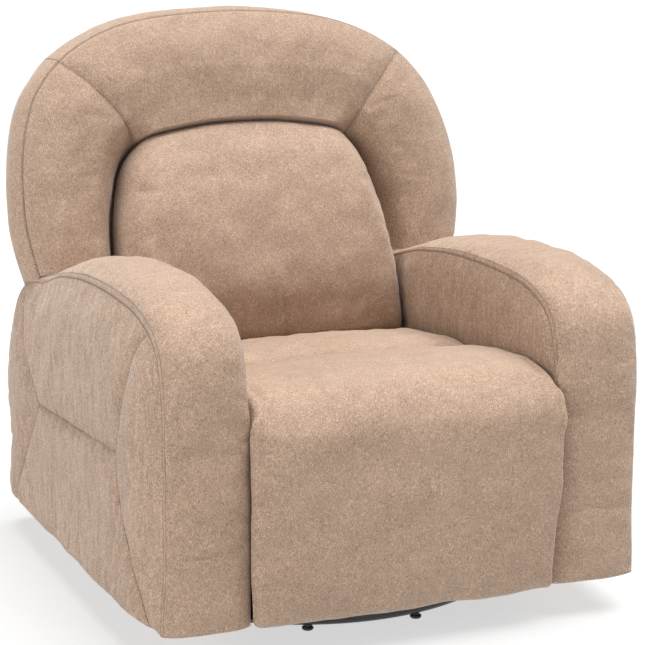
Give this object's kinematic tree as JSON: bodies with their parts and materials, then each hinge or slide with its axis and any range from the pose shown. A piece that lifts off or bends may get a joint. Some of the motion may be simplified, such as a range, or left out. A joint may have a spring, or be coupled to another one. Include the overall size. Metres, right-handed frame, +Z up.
{
  "type": "swivel recliner armchair",
  "caption": "Padded recliner armchair in beige short-nap fabric on a low black swivel ring base, with reclining horseshoe back and fold-out footrest.",
  "frame": {"origin": "on the floor under the middle of the chair's box, on the swivel axis", "axes": "+Z up, -Y the way the chair faces, +X to the sitter's left"},
  "size_m": [0.868, 1.004, 1.0073],
  "materials": {
    "black_steel": "satin",
    "zinc_steel": "satin",
    "fastener_steel": "satin",
    "spring_wire": "satin",
    "black_plastic": "matte",
    "plywood": "matte",
    "beige_velvet": "matte",
    "black_lining": "matte",
    "pull_webbing": "matte"
  },
  "bodies": {
    "base": {"base_ring": "black_steel", "base_cross_bars": "black_steel", "floor_glides": "black_plastic", "swivel_lower_plate": "black_steel", "swivel_pin": "fastener_steel", "swivel_balls": "fastener_steel", "swivel_ball_cage": "black_plastic", "swivel_base_bolts": "fastener_steel"},
    "chair": {"swivel_upper_plate": "black_steel", "swivel_spacers": "zinc_steel", "rail_bolts": "fastener_steel", "chassis_rails": "black_steel", "front_cross_tube": "black_steel", "rear_cross_tube": "black_steel", "mechanism_plate_left": "zinc_steel", "mechanism_plate_right": "zinc_steel", "arm_bolts": "fastener_steel", "arm_frame_left": "plywood", "arm_frame_right": "plywood", "arm_pad_left": "beige_velvet", "arm_pad_right": "beige_velvet", "rear_panel": "beige_velvet", "dust_cover": "black_lining", "seat_side_rails": "plywood", "seat_cross_rails": "plywood", "seat_springs": "spring_wire", "seat_cushion": "beige_velvet", "seat_front_pad": "beige_velvet", "chaise_bridge": "beige_velvet", "back_hinge_pins": "fastener_steel", "footrest_hinge_pins": "fastener_steel", "shaft_bushes": "black_plastic", "plate_posts": "fastener_steel", "footrest_springs": "spring_wire"},
    "backrest": {"back_posts": "plywood", "back_top_rail": "plywood", "back_lower_rail": "plywood", "back_springs": "spring_wire", "back_bracket_left": "zinc_steel", "back_bracket_right": "zinc_steel", "bracket_bolts": "fastener_steel", "back_rim_pad": "beige_velvet", "back_cushion": "beige_velvet", "back_rear_cover": "beige_velvet", "back_apron": "beige_velvet"},
    "footrest": {"footrest_board": "plywood", "footrest_pad": "beige_velvet", "footrest_bracket_left": "zinc_steel", "footrest_bracket_right": "zinc_steel", "footrest_link_pins": "fastener_steel", "footrest_screws": "fastener_steel"},
    "drive": {"drive_shaft": "zinc_steel", "crank_left": "zinc_steel", "crank_right": "zinc_steel", "crank_pins": "fastener_steel"},
    "coupler": {"coupler_link_left": "zinc_steel", "coupler_link_right": "zinc_steel"},
    "release_pull": {"release_strap": "pull_webbing"},
    "release_arm": {"release_lever": "zinc_steel"}
  },
  "joints": [
    {"name": "swivel", "type": "hinge", "parent": "base", "child": "chair", "pos_m": [0, 0, 0.05], "axis": [0, 0, 1], "continuous": true},
    {"name": "recline", "type": "hinge", "parent": "chair", "child": "backrest", "pos_m": [0, 0.25, 0.3], "axis": [-1, 0, 0], "range_deg": [0, 40]},
    {"name": "footrest_lift", "type": "hinge", "parent": "chair", "child": "footrest", "pos_m": [0, -0.455, 0.415], "axis": [-1, 0, 0], "range_deg": [0, 85], "deforming": ["footrest_springs", "chaise_bridge"]},
    {"name": "drive_turn", "type": "hinge", "parent": "chair", "child": "drive", "pos_m": [0, -0.25, 0.26], "axis": [-1, 0, 0], "range_deg": [0, 85]},
    {"name": "coupler_turn", "type": "hinge", "parent": "drive", "child": "coupler", "pos_m": [0, -0.23, 0.1], "axis": [-1, 0, 0], "range_deg": [-85, 0]},
    {"name": "release_pull_slide", "type": "slide", "parent": "chair", "child": "release_pull", "axis": [0, 0, 1], "range_m": [0, 0.025], "stiffness_N_per_m": 300},
    {"name": "release_lever_turn", "type": "hinge", "parent": "chair", "child": "release_arm", "pos_m": [-0.27, -0.038, 0.3], "axis": [-1, 0, 0], "range_deg": [0, 21]}
  ],
  "couplings": [
    {"joint": "drive_turn", "follows": "footrest_lift", "ratio": 1},
    {"joint": "coupler_turn", "follows": "footrest_lift", "ratio": -1},
    {"joint": "release_lever_turn", "follows": "release_pull_slide", "rad_per_m": 14.286}
  ]
}
